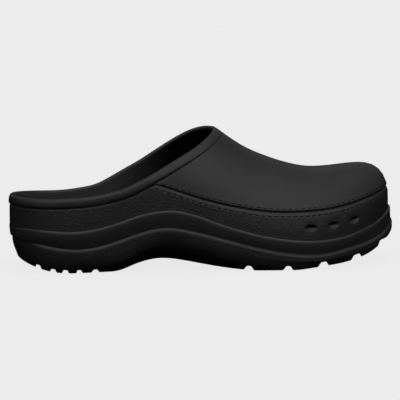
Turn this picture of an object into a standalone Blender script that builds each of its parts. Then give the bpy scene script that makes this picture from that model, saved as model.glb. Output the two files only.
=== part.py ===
"""A moulded foam clog for the right foot: outsole, midsole, upper and insole.

Metres, toe towards +X, outer side of the foot towards -Y, tread on the plane z = 0. The tables are in
millimetres. A station is a distance from the back of the heel along the sole. Every piece is skinned over
closed loops that start at the heel and run along the outer side, round the toe and back on the inner side.
"""
import bpy
import numpy as np

MM = 0.001

# Overall sizes, in millimetres.
LENGTH = 285.0        # heel to toe along the sole
WALL = 3.4            # thickness of the upper
GAP = 0.3             # clearance where two pieces meet
INSOLE_GAP = 0.45     # clearance under the insole
INSOLE = 3.6          # thickness of the insole
COLUMNS = 72          # points in each loop, an even number
CENTRE_STATION = 142.55  # middle of the shoe's plan, which stands over the origin
CENTRE_SIDE = -0.85
ORIGIN = np.array([-CENTRE_STATION, -CENTRE_SIDE, 0.0]) * MM


def table(names, *rows):
    """A table of sections: named columns and one row for each section."""
    return dict(zip(names.split(), np.array(rows, dtype=float).T))


# Plan of the sole at its widest: the line half way between its two sides, and the breadth to either side of
# it before the round of heel and toe takes hold.
PLAN = table(
    "station middle breadth",
    (0, 0.0, 72.6),
    (37, 0.0, 55.0),
    (70, -0.7, 43.0),
    (105, -2.2, 38.0),
    (142, -3.0, 41.5),
    (180, -1.8, 50.0),
    (205, -1.0, 57.0),
    (235, 1.0, 62.5),
    (260, 3.5, 65.0),
    (285, 6.5, 70.0),
)

# Heights along the sole: tread, lower ridge, upper ridge, and the middle of the two surfaces hidden in it.
HEIGHTS = table(
    "station tread low_ridge high_ridge core footbed",
    (0, 15.5, 25.0, 31.7, 20.0, 25.5),
    (8, 8.6, 22.7, 32.0, 18.5, 25.0),
    (17, 4.4, 20.9, 31.5, 17.0, 24.4),
    (30, 0.8, 18.5, 30.6, 15.5, 24.0),
    (40, 0.0, 17.2, 30.0, 15.0, 24.0),
    (63, 0.0, 19.0, 32.6, 15.2, 24.0),
    (76, 0.3, 22.9, 36.1, 15.6, 24.2),
    (91, 5.2, 27.8, 41.1, 16.6, 24.6),
    (105, 7.8, 30.9, 43.5, 16.8, 24.3),
    (116, 7.4, 30.6, 43.7, 16.2, 23.4),
    (128, 5.6, 28.1, 40.8, 15.0, 22.2),
    (150, 2.0, 22.4, 32.8, 12.0, 19.6),
    (172, 0.0, 16.5, 26.3, 9.4, 17.0),
    (202, 0.0, 11.3, 21.4, 7.6, 15.0),
    (220, 1.9, 10.7, 20.9, 8.2, 15.2),
    (240, 3.9, 13.7, 23.0, 10.6, 17.2),
    (260, 8.8, 17.5, 28.2, 15.6, 21.2),
    (275, 16.8, 23.0, 33.9, 21.6, 25.6),
    (285, 20.5, 30.0, 39.3, 24.6, 29.4),
)

# How far the side of the sole stands inside the plan at each ridge and at the foot of the side, and how far
# in and up the rounded edge of the tread reaches from there.
SIDE = table(
    "station high_in low_in foot_in turn_in turn_up",
    (0, 0.6, 2.6, 5.8, 5.0, 7.4),
    (40, 0.8, 2.2, 4.1, 5.2, 8.0),
    (75, 0.9, 1.6, 3.0, 11.0, 10.0),
    (108, 0.9, 1.2, 2.6, 19.0, 17.0),
    (140, 0.9, 0.9, 2.2, 13.0, 14.5),
    (175, 0.9, 0.4, 1.5, 6.2, 8.4),
    (205, 0.9, 0.2, 1.2, 5.4, 6.6),
    (260, 1.2, 0.0, 0.9, 5.2, 5.6),
    (285, 1.6, 0.0, 1.0, 4.4, 4.6),
)

# Cross-section of a ridge: how far above its line and how far proud of the side.
LOW_BEAD = table("above proud", (-2.2, 0.25), (-0.8, 0.7), (0.5, 0.6), (1.8, -0.25))
HIGH_BEAD = table("above proud", (-2.4, 0.15), (-0.8, 0.7), (0.35, 0.7), (1.3, 0.0))
RIDGE = 0.8           # how far the side lies behind the crest of a ridge
BAND_ROWS = (0.3, 0.65)  # loops of the band between the ridges, as shares of its height
DISH = 12             # how late the footbed climbs to its edge
CORE_DISH = 4         # the same for the joint under it
EDGE_BENDS = (30.0, 60.0, 90.0)  # steps of the turn from tread to side, in degrees
TREAD_SHARES = (0.4, 0.8)  # loops of the tread inside its rounded edge
CORE_SHARES = (0.94, 0.82, 0.5)  # loops of the joint between outsole and midsole
LIP = 0.6             # ledge left inside the foot of the upper
FOOTBED_SHARES = (0.95, 0.87, 0.72, 0.42)  # loops of the footbed under the insole, as shares of its width
LIP_SHARE = 0.985     # the loop of the footbed just inside its lip

# Ribs of the upper: the station, side and height at the top of the rib that stands on each station of the
# sole, and how square its shoulder is.
RIBS = table(
    "station top_station top_side top_height square",
    (0, 25, 0.0, 118.0, 2.4),
    (60, 62, 0.5, 118.0, 2.4),
    (100, 100, 2.0, 116.0, 2.2),
    (130, 130, 4.0, 110.0, 2.05),
    (145, 145, 4.5, 104.2, 2.0),
    (155, 155, 4.5, 97.3, 2.0),
    (173, 173, 4.5, 85.2, 2.05),
    (190, 190, 4.5, 77.7, 2.15),
    (207, 206, 4.5, 72.4, 2.3),
    (225, 221, 4.5, 69.2, 2.5),
    (245, 236, 5.0, 69.4, 2.65),
    (265, 248, 5.5, 70.8, 2.85),
    (285, 256, 6.5, 71.6, 2.95),
)

# Foot of the rolled rim on the outer and on the inner side of the collar; the last row is the throat.
COLLAR = table(
    "station outer inner",
    (0, 47.8, 47.8),
    (25, 46.8, 46.4),
    (42, 47.2, 46.1),
    (56, 48.2, 47.5),
    (70, 50.5, 50.3),
    (84, 54.4, 57.3),
    (99, 62.0, 66.1),
    (114, 70.5, 75.5),
    (128, 78.6, 84.8),
    (140, 85.8, 91.8),
    (150, 92.3, 95.3),
    (156.5, 96.256, 96.256),
)

# Cross-section of the rolled rim: how far up from its foot and how far out from the wall.
RIM = table(
    "up out",
    (0.6, 0.95),
    (1.8, 1.35),
    (4.6, 1.35),
    (6.3, 0.95),
    (7.1, -0.6),
    (7.0, -2.4),
    (5.8, -3.3),
    (2.4, -3.4),
)

# The seam between vamp and wall.
SEAM = table(
    "station height",
    (0, 70.0),
    (95, 65.6),
    (103, 63.2),
    (115, 59.0),
    (130, 53.8),
    (145, 49.5),
    (160, 46.3),
    (180, 43.1),
    (202, 42.4),
    (222, 43.2),
    (242, 45.8),
    (262, 50.1),
    (276, 53.3),
    (285, 55.0),
)
SEAM_DEPTH = 0.9      # depth of the seam's groove
SEAM_HALF = 1.2       # half its width
SEAM_START = 100.0    # station where the seam leaves the rim
SEAM_FADE = 14.0      # length over which the groove deepens
SHOULDER = 1.2        # wall kept between the seam's end and the rim
SHOULDER_HEEL = 6.0   # the same behind the seam, where the wall runs plain up to the rim
SHOULDER_RUN = 40.0   # length over which the one passes into the other

WALL_ROWS = (0.0, 0.3, 0.6, 0.85)              # shares of the height from sole to seam
VAMP_ROWS = (0.012, 0.035, 0.07, 0.13, 0.22, 0.34, 0.5, 0.66, 0.83)  # shares of the way from seam to rim
INNER_ROWS = (-1, -2, -3, -4, -5, -6, -7, -9, 5, 2, 0)  # loops of the outside that the inside repeats
LEVEL = 88.0          # station up to which the collar's columns stand straight over the sole's
THROAT_PACE = 0.45    # pace of the collar's columns at the throat

# Vents on each side: station and height above the upper ridge.
VENTS = table("station above", (211.3, 9.6), (228.8, 10.2), (246.6, 9.8))
VENT_LONG = 4.1       # half length of a vent
VENT_TALL = 2.3       # half height of a vent
VENT_TAPER = 0.2      # how much wider it is outside than at the middle of the wall
VENT_SIDES = 20
VENT_IN = 8.5         # how far its cutter reaches into the shoe
VENT_OUT = 3.4        # and out of it

# Grooves between the lugs: station at the outer edge, depth, width at the mouth and at the top, how much
# further forward the groove is for each step towards the inner edge, and whether its top follows the tread's
# slope. The last is the level step in front of the foremost lug.
GROOVES = table(
    "station depth mouth top slant follows",
    (19.3, 2.6, 4.6, 2.0, 0.12, 1),
    (29.5, 2.6, 5.2, 2.2, 0.12, 1),
    (38, 2.8, 5.4, 2.4, 0.12, 1),
    (47.9, 2.8, 4.8, 2.2, 0.12, 1),
    (59.5, 2.8, 6.0, 2.4, 0.12, 1),
    (168, 3.6, 8.0, 2.4, 0.17, 1),
    (195.5, 3.6, 8.0, 2.4, 0.17, 1),
    (221.5, 3.8, 8.6, 3.2, 0.17, 1),
    (248, 4.0, 9.0, 3.4, 0.17, 1),
    (273, 2.0, 10.0, 9.0, 0.05, 0),
)
GROOVE_REACH = 58.0   # half length of a groove's cutter

STEP = 0.01           # turn of the loop's angle over which a direction is taken
SLOPE_RUN = 1.0       # length over which the slope of the tread is taken
FINE = 400            # points in the finely divided line of the rim
HALVINGS = 40         # steps in the search for a rib

# Colour and roughness of the materials.
FOAM = (0.016, 0.016, 0.017, 1.0), 0.5
RUBBER = (0.013, 0.013, 0.014, 1.0), 0.6
LINING = (0.020, 0.020, 0.021, 1.0), 0.8


def read(rows, column, station):
    """A smooth curve through one column of a table, read at the stations given.

    Between two rows it is a cubic whose end slopes follow the rows on either side.
    """
    at = rows["station"]
    value = rows[column]
    slope = np.gradient(value, at)
    station = np.clip(station, at[0], at[-1])
    row = np.clip(np.searchsorted(at, station, side="right") - 1, 0, len(at) - 2)
    span = at[row + 1] - at[row]
    t = (station - at[row]) / span
    start = (1 + 2 * t) * (1 - t) ** 2 * value[row] + t * (1 - t) ** 2 * span * slope[row]
    end = t * t * (3 - 2 * t) * value[row + 1] + t * t * (t - 1) * span * slope[row + 1]
    return start + end


def station_of(angle):
    """Station of the loop's points: the angle runs once round the shoe, from the heel and back to it."""
    return LENGTH / 2 * (1 - np.cos(angle))


def plan(angle, inset=0.0):
    """Outline of the sole from above, drawn in by an inset square to its edge."""
    def edge(at):
        x = station_of(at)
        return x, read(PLAN, "middle", x) - read(PLAN, "breadth", x) * np.sin(at)

    x, y = edge(angle)
    ahead = edge(angle + STEP)
    behind = edge(angle - STEP)
    along_x = ahead[0] - behind[0]
    along_y = ahead[1] - behind[1]
    run = np.hypot(along_x, along_y)
    return np.stack([x - inset * along_y / run, y + inset * along_x / run], axis=-1)


def ring(angle, inset, height):
    """A loop round the shoe with that inset and those heights."""
    flat = plan(angle, inset)
    return np.concatenate([flat, np.broadcast_to(height, angle.shape)[..., None]], axis=-1)


ANGLE = np.linspace(0, 2 * np.pi, COLUMNS, endpoint=False)
HALF = COLUMNS // 2
STATION = station_of(ANGLE)


def rib_top(angle):
    """Plan position of the top of each rib: a line down the middle of the shoe, drawn in at heel and toe."""
    x = station_of(angle)
    return np.stack([read(RIBS, "top_station", x), read(RIBS, "top_side", x)], axis=-1)


def inward(loop, share, height):
    """A loop drawn in to a share of its way from the middle line, with heights read at its own stations."""
    middle = rib_top(ANGLE)
    flat = middle + (loop[:, :2] - middle) * share
    return np.column_stack([flat, height(flat[:, 0])])


def spine(height):
    """The middle line itself, one point for each pair of columns."""
    flat = rib_top(ANGLE[:HALF + 1])
    return np.column_stack([flat, height(flat[:, 0])])


def column(rows, name):
    """A column of a table as a smooth function of the station."""
    return lambda station: read(rows, name, station)


def skin(name, loops, finish, home, first=None, last=None):
    """A closed solid over loops; a middle line closes each end, or the last loop joins the first again.

    Each cell is halved from its wider loop, so that two pieces laid on each other have matching facets.
    """
    points = list(loops)
    turn = np.arange(COLUMNS)
    rows = [number * COLUMNS + turn for number in range(len(loops))]
    fold = np.minimum(turn, COLUMNS - turn)
    total = len(loops) * COLUMNS
    if first is None:
        rows.append(rows[0])
    else:
        rows.insert(0, total + fold)
        rows.append(total + HALF + 1 + fold)
        points += [first, last]
    points = np.concatenate(points)
    faces = []
    for row, following in zip(rows[:-1], rows[1:]):
        beside, corner = np.roll(row, -1), np.roll(following, -1)
        if np.ptp(points[following, 1]) < np.ptp(points[row, 1]):
            halves = (row, beside, corner), (row, corner, following)
        else:
            halves = (row, beside, following), (beside, corner, following)
        faces += [np.column_stack(half) for half in halves]
    mesh = bpy.data.meshes.new(name)
    mesh.from_pydata((points * MM + ORIGIN).tolist(), [], np.concatenate(faces).tolist())
    mesh.validate()
    piece = bpy.data.objects.new(name, mesh)
    home.objects.link(piece)
    material = bpy.data.materials.new(name)
    material.use_nodes = True
    shader = material.node_tree.nodes["Principled BSDF"]
    shader.inputs["Base Color"].default_value, shader.inputs["Roughness"].default_value = finish
    mesh.materials.append(material)
    return piece


def prism(name, near, far, home):
    """A cutter between two outlines with the same number of points."""
    count = len(near)
    turn = np.arange(count)
    sides = np.column_stack([turn, np.roll(turn, -1), np.roll(turn, -1) + count, turn + count])
    faces = sides.tolist() + [turn[::-1].tolist(), (turn + count).tolist()]
    mesh = bpy.data.meshes.new(name)
    mesh.from_pydata((np.concatenate([near, far]) * MM + ORIGIN).tolist(), [], faces)
    mesh.validate()
    cutter = bpy.data.objects.new(name, mesh)
    cutter.hide_render = True
    cutter.display_type = "WIRE"
    home.objects.link(cutter)
    return cutter


def cut(piece, cutter):
    """Take the cutter's shape out of the piece."""
    step = piece.modifiers.new(cutter.name, "BOOLEAN")
    step.operation = "DIFFERENCE"
    step.solver = "EXACT"
    step.object = cutter


for leftover in list(bpy.data.objects):
    bpy.data.objects.remove(leftover)
scene_home = bpy.context.scene.collection
clog = bpy.data.collections.new("clog")
scene_home.children.link(clog)
cutters = bpy.data.collections.new("cutters")
scene_home.children.link(cutters)

low = read(HEIGHTS, "low_ridge", STATION)
high = read(HEIGHTS, "high_ridge", STATION)
low_in = read(SIDE, "low_in", STATION)
high_in = read(SIDE, "high_in", STATION)

# Outsole: tread, rounded edge, side and lower ridge; its hidden top is dished under the footbed.
foot_in = read(SIDE, "foot_in", STATION)
turn_in = read(SIDE, "turn_in", STATION)
turn_up = read(SIDE, "turn_up", STATION)


def tread(station):
    """Height of the tread, flat on the ground under the heel and the ball of the foot."""
    return np.maximum(read(HEIGHTS, "tread", station), 0.0)


tread_edge = ring(ANGLE, foot_in + turn_in, 0.0)
tread_edge[:, 2] = tread(tread_edge[:, 0])
outsole_loops = [inward(tread_edge, share, tread) for share in TREAD_SHARES]
outsole_loops.append(tread_edge)
for bend in np.radians(EDGE_BENDS):
    lift = tread_edge[:, 2] + turn_up * (1 - np.cos(bend))
    outsole_loops.append(ring(ANGLE, foot_in + turn_in * (1 - np.sin(bend)), lift))
for above, proud in zip(LOW_BEAD["above"], LOW_BEAD["proud"]):
    outsole_loops.append(ring(ANGLE, low_in + RIDGE - proud, low + above))
outsole_top = outsole_loops[-1]


def dished(edge, share, name, late, lift=0.0):
    """A loop of a dished surface: level in the middle, climbing to its edge close to the side."""
    flat = inward(edge, share, column(HEIGHTS, name))
    flat[:, 2] += (edge[:, 2] - lift - flat[:, 2]) * share ** late + lift
    return flat


core = column(HEIGHTS, "core")
outsole_loops += [dished(outsole_top, share, "core", CORE_DISH) for share in CORE_SHARES]
outsole = skin("outsole", outsole_loops, RUBBER, clog, spine(tread), spine(core))

for number, (station, depth, mouth, top, slant, follows) in enumerate(zip(*GROOVES.values())):
    edge = np.interp(station, STATION[:HALF], tread_edge[:HALF, 1])
    below = depth * mouth / (mouth - top)  # its sides run on below the tread until they are two mouths apart
    slope = (tread(station + SLOPE_RUN) - tread(station - SLOPE_RUN)) / (2 * SLOPE_RUN)
    ahead = np.array([-mouth, mouth, top / 2, -top / 2])
    ends = []
    for side in (GROOVE_REACH, -GROOVE_REACH):
        middle = station + slant * (side - edge)
        rise = tread(middle) + follows * slope * ahead + np.array([-below, -below, depth, depth])
        ends.append(np.column_stack([middle + ahead, np.full(4, side), rise]))
    cut(outsole, prism(f"groove_{number + 1}", *ends, cutters))

# Midsole: the plain band, the upper ridge, a ledge that carries the upper and the dished footbed.
base = low + LOW_BEAD["above"][-1] + GAP
base_in = low_in + RIDGE - LOW_BEAD["proud"][-1]
midsole_base = ring(ANGLE, base_in, base)
core_lifted = [dished(midsole_base, share, "core", CORE_DISH, GAP) for share in CORE_SHARES[::-1]]
midsole_loops = core_lifted + [midsole_base]
band_top = high + HIGH_BEAD["above"][0]
for share in BAND_ROWS:
    inset = low_in + RIDGE + (high_in - low_in) * share
    midsole_loops.append(ring(ANGLE, inset, base + (band_top - base) * share))
for above, proud in zip(HIGH_BEAD["above"], HIGH_BEAD["proud"]):
    midsole_loops.append(ring(ANGLE, high_in + RIDGE - proud, high + above))
ledge = high + HIGH_BEAD["above"][-1]
wall_in = high_in + RIDGE - HIGH_BEAD["proud"][-1]
lip = ring(ANGLE, wall_in + WALL + LIP, ledge)
midsole_loops.append(lip)
midsole_loops += [dished(lip, share, "footbed", DISH) for share in (LIP_SHARE, *FOOTBED_SHARES)]
midsole = skin("midsole", midsole_loops, FOAM, clog,
               spine(lambda x: core(x) + GAP), spine(column(HEIGHTS, "footbed")))


# Insole: a sheet of even thickness laid on the footbed.
def footbed_sheet(share, lift):
    """A loop of the footbed, lifted."""
    loop = dished(lip, share, "footbed", DISH)
    loop[:, 2] += lift
    return loop


insole_loops = [footbed_sheet(share, INSOLE_GAP) for share in FOOTBED_SHARES[::-1]]
insole_loops += [footbed_sheet(share, INSOLE_GAP + INSOLE) for share in FOOTBED_SHARES]
footbed = column(HEIGHTS, "footbed")
insole = skin("insole", insole_loops, LINING, clog,
              spine(lambda x: footbed(x) + INSOLE_GAP), spine(lambda x: footbed(x) + INSOLE_GAP + INSOLE))


# Upper: a shell of ribs that stand on the ledge and lean over to the middle line.
def rib(angle):
    """Foot and top of the rib at an angle, with its two heights and its squareness."""
    x = station_of(angle)
    foot = plan(angle, read(SIDE, "high_in", x) + RIDGE - HIGH_BEAD["proud"][-1])
    base_height = read(HEIGHTS, "high_ridge", x) + HIGH_BEAD["above"][-1] + GAP
    return foot, rib_top(angle), base_height, read(RIBS, "top_height", x), read(RIBS, "square", x)


def at_height(angle, height):
    """The point of each rib at a height: a superellipse from its upright foot to its level top."""
    foot, top, base_height, top_height, square = rib(angle)
    rise = np.clip((height - base_height) / (top_height - base_height), 0.0, 1.0)
    reach = (1 - rise ** square) ** (1 / square)
    return np.concatenate([top + (foot - top) * reach[..., None], np.asarray(height)[..., None]], axis=-1)


def height_over(flat):
    """Height of the upper over points in plan: the rib through each point is found by halving."""
    def offset(turn, side):
        angle = np.where(side > 0, turn, 2 * np.pi - turn)
        foot, top, *rest = rib(angle)
        reach = foot - top
        away = flat - top
        return away[..., 0] * reach[..., 1] - away[..., 1] * reach[..., 0], away, reach, rest

    ridge_line = np.interp(flat[..., 0], RIBS["top_station"], RIBS["top_side"])
    side = np.where(flat[..., 1] < ridge_line, 1.0, -1.0)
    back = np.zeros(flat.shape[:-1])
    front = np.full(flat.shape[:-1], np.pi)
    for _ in range(HALVINGS):
        middle = (back + front) / 2
        ahead = offset(middle, side)[0] * side < 0
        back = np.where(ahead, middle, back)
        front = np.where(ahead, front, middle)
    _, away, reach, (base_height, top_height, square) = offset((back + front) / 2, side)
    share = np.clip(np.linalg.norm(away, axis=-1) / np.linalg.norm(reach, axis=-1), 0.0, 1.0)
    return base_height + (top_height - base_height) * (1 - share ** square) ** (1 / square)


def run_along(points):
    """Distance along a line of points."""
    return np.concatenate([[0.0], np.cumsum(np.linalg.norm(np.diff(points, axis=0), axis=1))])


def collar_half(name, angle_sign):
    """Foot of the rim from heel to throat on one side, finely divided towards the throat."""
    station = COLLAR["station"][-1] * (1 - (1 - np.linspace(0, 1, FINE)) ** 2)
    angle = angle_sign * np.arccos(1 - 2 * station / LENGTH)
    return station, at_height(angle, read(COLLAR, name, station))


def collar_side(name, angle_sign):
    """The rim's foot at each column of one side: over the sole's at the heel, then on to the throat."""
    fine_station, fine = collar_half(name, angle_sign)
    fine_run = run_along(fine)
    station = STATION[:HALF + 1]
    base_run = run_along(plan(ANGLE[:HALF + 1] * angle_sign))
    level_run = np.interp(LEVEL, fine_station, fine_run)
    start = np.interp(LEVEL, station, base_run)
    share = np.clip((base_run - start) / (base_run[-1] - start), 0.0, 1.0)
    reach = fine_run[-1] - level_run
    pace = (base_run[-1] - start) / reach
    eased = share ** 2 * (3 - 2 * share) + pace * share * (1 - share) ** 2
    eased -= THROAT_PACE * share ** 2 * (1 - share)
    level = np.interp(station, fine_station, fine_run)
    wanted = np.where(station < LEVEL, level, level_run + reach * eased)
    return np.column_stack([np.interp(wanted, fine_run, fine[:, axis]) for axis in range(3)])


collar = np.concatenate([collar_side("outer", 1.0), collar_side("inner", -1.0)[-2:0:-1]])
collar = np.where(STATION[:, None] < LEVEL, at_height(ANGLE, collar[:, 2]), collar)
plain = np.clip((SEAM_START - STATION) / SHOULDER_RUN, 0.0, 1.0)
shoulder = SHOULDER + (SHOULDER_HEEL - SHOULDER) * plain
seam_height = np.minimum(read(SEAM, "height", STATION), collar[:, 2] - shoulder)
foot_height = rib(ANGLE)[2]
outer = [at_height(ANGLE, foot_height + (seam_height - foot_height) * share) for share in WALL_ROWS]
below_seam = len(outer)
seam = at_height(ANGLE, seam_height)
outer += [at_height(ANGLE, seam_height - SEAM_HALF), seam]
for share in VAMP_ROWS:
    flat = seam[:, :2] + (collar[:, :2] - seam[:, :2]) * share
    over = np.column_stack([flat, height_over(flat)])
    upright = at_height(ANGLE, seam_height + (collar[:, 2] - seam_height) * share)
    outer.append(np.where(STATION[:, None] < LEVEL, upright, over))
outer.append(collar)
outer = np.array(outer)


def outward(grid):
    """Unit normals of a grid of loops, pointing out of the shoe."""
    along = np.roll(grid, -1, axis=1) - np.roll(grid, 1, axis=1)
    up = np.gradient(grid, axis=0)
    normal = np.cross(along, up)
    return normal / np.linalg.norm(normal, axis=2, keepdims=True)


normal = outward(outer)
inner = outer - normal * WALL
inner[0, :, 2] = outer[0, :, 2]
groove = SEAM_DEPTH * np.clip((STATION - SEAM_START) / SEAM_FADE, 0.0, 1.0)
outer[below_seam + 1] -= normal[below_seam + 1] * groove[:, None]

along = np.roll(collar, -1, axis=0) - np.roll(collar, 1, axis=0)
along /= np.linalg.norm(along, axis=1, keepdims=True)
up = np.cross(normal[-1], along)
rim = [collar + normal[-1] * out + up * rise for rise, out in zip(RIM["up"], RIM["out"])]
upper_loops = list(outer) + rim + [inner[row] for row in INNER_ROWS]
upper = skin("upper", upper_loops, FOAM, clog)

for side, label in ((1.0, "outer"), (-1.0, "inner")):
    for number, (station, above) in enumerate(zip(VENTS["station"], VENTS["above"])):
        angle = side * np.arccos(1 - 2 * station / LENGTH)
        near = angle + np.array([-STEP, 0.0, STEP])
        height = read(HEIGHTS, "high_ridge", station_of(near)) + above
        behind, centre, ahead = at_height(near, height)
        lengthwise = (ahead - behind) * side
        lengthwise /= np.linalg.norm(lengthwise)
        out = np.cross(lengthwise, (0.0, 0.0, side))
        out /= np.linalg.norm(out)
        tall = np.cross(out, lengthwise)
        turn = np.linspace(0, 2 * np.pi, VENT_SIDES, endpoint=False)[:, None]
        oval = VENT_LONG * np.cos(turn) * lengthwise + VENT_TALL * np.sin(turn) * tall
        ends = []
        for reach in (-VENT_IN, VENT_OUT):
            ends.append(centre + out * reach + oval * (1 + VENT_TAPER * reach / WALL))
        cut(upper, prism(f"vent_{label}_{number + 1}", *ends, cutters))
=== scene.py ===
"""A black moulded clog for the right foot, set on a pale studio floor.

The clog is put together from the ground up: outsole, midsole, insole, upper and its two rows of stitches.
Sizes are in millimetres and turn into metres where a mesh is made. A station is a distance from the back of
the heel, the toe points to +X and the outer side of the foot to -Y. Every surface is a grid of loops round
the shoe: the columns start at the heel and run along the outer side, round the toe and back on the inner.
"""

import bpy
import numpy as np
from mathutils import Matrix


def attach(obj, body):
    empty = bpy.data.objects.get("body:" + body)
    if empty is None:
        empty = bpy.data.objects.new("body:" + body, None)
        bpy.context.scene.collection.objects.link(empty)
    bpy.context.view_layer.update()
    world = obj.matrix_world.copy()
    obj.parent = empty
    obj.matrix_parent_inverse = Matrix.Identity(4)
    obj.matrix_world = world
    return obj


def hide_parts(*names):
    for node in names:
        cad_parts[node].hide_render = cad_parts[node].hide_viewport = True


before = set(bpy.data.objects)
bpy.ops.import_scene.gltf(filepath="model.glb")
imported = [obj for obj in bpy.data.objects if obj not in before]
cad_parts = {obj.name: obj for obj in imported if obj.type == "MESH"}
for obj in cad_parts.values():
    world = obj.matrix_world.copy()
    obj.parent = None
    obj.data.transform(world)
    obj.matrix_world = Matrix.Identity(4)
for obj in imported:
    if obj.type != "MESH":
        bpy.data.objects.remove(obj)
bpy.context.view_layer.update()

# Outsole. One block of grained black foam rubber, moulded with its lugs and with a rounded shoulder along its
# upper edge, which shows as the lower of the two bright lines round the shoe. It is glued under the midsole.
MM = 0.001  # a millimetre, in metres
LENGTH = 285.0
CENTRE = np.array([142.55, -0.85, 0.0])  # middle of the plan, over the origin
CURVE_POINTS = 1201  # points on the curve of a table
CURVE_EVEN = 3.0  # width of the window that such a curve is averaged over
CURVE_REACH = 80  # points that the window takes in to either side
TURN_STEP = 0.01  # step of the angle that a direction is taken over


def table(names, *rows):
    """Named columns read from rows of sizes, each drawn out to a smooth curve along the stations.

    Between two rows the curve is a cubic whose end slopes follow the rows beside them. It is then averaged
    over a bell-shaped window a few millimetres wide, carried past its ends by turning it half round about
    them.
    """
    at, *values = np.array(rows, dtype=float).T
    fine = np.linspace(at[0], at[-1], CURVE_POINTS)
    row = np.clip(np.searchsorted(at, fine, side="right") - 1, 0, len(at) - 2)
    span = at[row + 1] - at[row]
    t = (fine - at[row]) / span
    steps = np.arange(-CURVE_REACH, CURVE_REACH + 1) * (fine[1] - fine[0])
    window = np.exp(-0.5 * (steps / CURVE_EVEN) ** 2)
    curves = {"station": fine}
    for name, value in zip(names.split()[1:], values):
        slope = np.gradient(value, at)
        curve = (1 + 2 * t) * (1 - t) ** 2 * value[row] + t * (1 - t) ** 2 * span * slope[row]
        curve += t * t * (3 - 2 * t) * value[row + 1] + t * t * (t - 1) * span * slope[row + 1]
        padded = np.pad(curve, CURVE_REACH, mode="reflect", reflect_type="odd")
        curves[name] = np.convolve(padded, window / window.sum(), mode="valid")
    return curves


def read(curves, name, station):
    """One column of a table at any stations."""
    return np.interp(station, curves["station"], curves[name])


# Plan of the sole at its widest: its middle line, and its breadth to either side before heel and toe round
# it off.
PLAN = table(
    "station middle breadth",
    (0, 0.0, 72.6),
    (37, 0.0, 55.0),
    (70, -0.7, 43.0),
    (105, -2.2, 38.0),
    (142, -3.0, 41.5),
    (180, -1.8, 50.0),
    (205, -1.0, 57.0),
    (235, 1.0, 62.5),
    (260, 3.5, 65.0),
    (285, 6.5, 70.0),
)

# Heights along the sole: tread, the two bright lines, the joint of the two soles and the footbed.
HEIGHTS = table(
    "station tread low_line high_line core footbed",
    (0, 15.5, 25.0, 31.7, 20.0, 25.5),
    (8, 8.6, 22.7, 32.0, 18.5, 25.0),
    (17, 4.4, 20.9, 31.5, 17.0, 24.4),
    (30, 0.8, 18.5, 30.6, 15.5, 24.0),
    (40, 0.0, 17.2, 30.0, 15.0, 24.0),
    (63, 0.0, 19.0, 32.6, 15.2, 24.0),
    (76, 0.3, 22.9, 36.1, 15.6, 24.2),
    (91, 5.2, 27.8, 41.1, 16.6, 24.6),
    (105, 7.8, 30.9, 43.5, 16.8, 24.3),
    (116, 7.4, 30.6, 43.7, 16.2, 23.4),
    (128, 5.6, 28.1, 40.8, 15.0, 22.2),
    (150, 2.0, 22.4, 32.8, 12.0, 19.6),
    (172, 0.0, 16.5, 26.3, 9.4, 17.0),
    (202, 0.0, 11.3, 21.4, 7.6, 15.0),
    (220, 1.9, 10.7, 20.9, 8.2, 15.2),
    (240, 3.9, 13.7, 23.0, 10.6, 17.2),
    (260, 8.8, 17.5, 28.2, 15.6, 21.2),
    (275, 16.8, 23.0, 33.9, 21.6, 25.6),
    (285, 20.5, 30.0, 39.3, 24.6, 29.4),
)

# How far the side stands inside the plan at the two lines and at its foot, and how far in and up the tread's
# edge is rounded.
SIDE = table(
    "station high_in low_in foot_in turn_in turn_up",
    (0, 0.6, 2.6, 5.8, 5.0, 7.4),
    (40, 0.8, 2.2, 4.1, 5.2, 8.0),
    (75, 0.9, 1.6, 3.0, 11.0, 10.0),
    (108, 0.9, 1.2, 2.6, 19.0, 17.0),
    (140, 0.9, 0.9, 2.2, 13.0, 14.5),
    (175, 0.9, 0.4, 1.5, 6.2, 8.4),
    (205, 0.9, 0.2, 1.2, 5.4, 6.6),
    (260, 1.2, 0.0, 0.9, 5.2, 5.6),
    (285, 1.6, 0.0, 1.0, 4.4, 4.6),
)

# Line down the middle of the shoe that everything is drawn in to.
MIDDLE = table(
    "station top_station top_side",
    (0, 25, 0.0),
    (60, 62, 0.5),
    (100, 100, 2.0),
    (130, 130, 4.0),
    (145, 145, 4.5),
    (155, 155, 4.5),
    (173, 173, 4.5),
    (190, 190, 4.5),
    (207, 206, 4.5),
    (225, 221, 4.5),
    (245, 236, 5.0),
    (265, 248, 5.5),
    (285, 256, 6.5),
)


def station_of(angle):
    """Station of an angle that runs once round the shoe from the heel."""
    return LENGTH / 2 * (1 - np.cos(angle))


def plan(angle, inset=0.0):
    """Outline from above, drawn in by an inset square to its edge.

    Across the shoe it is the middle line less the breadth times the sine of the angle.
    """
    def edge(at):
        x = station_of(at)
        return x, read(PLAN, "middle", x) - read(PLAN, "breadth", x) * np.sin(at)

    x, y = edge(angle)
    ahead, behind = edge(angle + TURN_STEP), edge(angle - TURN_STEP)
    along_x, along_y = ahead[0] - behind[0], ahead[1] - behind[1]
    run = np.hypot(along_x, along_y)
    return np.stack([x - inset * along_y / run, y + inset * along_x / run], axis=-1)


def raised(flat, height):
    """Points in plan, each set at a height."""
    return np.concatenate([flat, np.broadcast_to(height, flat.shape[:-1])[..., None]], axis=-1)


def ring(angle, inset, height):
    """Loops with an inset from the plan and a height."""
    return raised(plan(*np.broadcast_arrays(angle, inset)), height)


def middle_line(angle):
    """Point of the middle line that each column is drawn in to, from above."""
    x = station_of(angle)
    return np.stack([read(MIDDLE, "top_station", x), read(MIDDLE, "top_side", x)], axis=-1)


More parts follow.
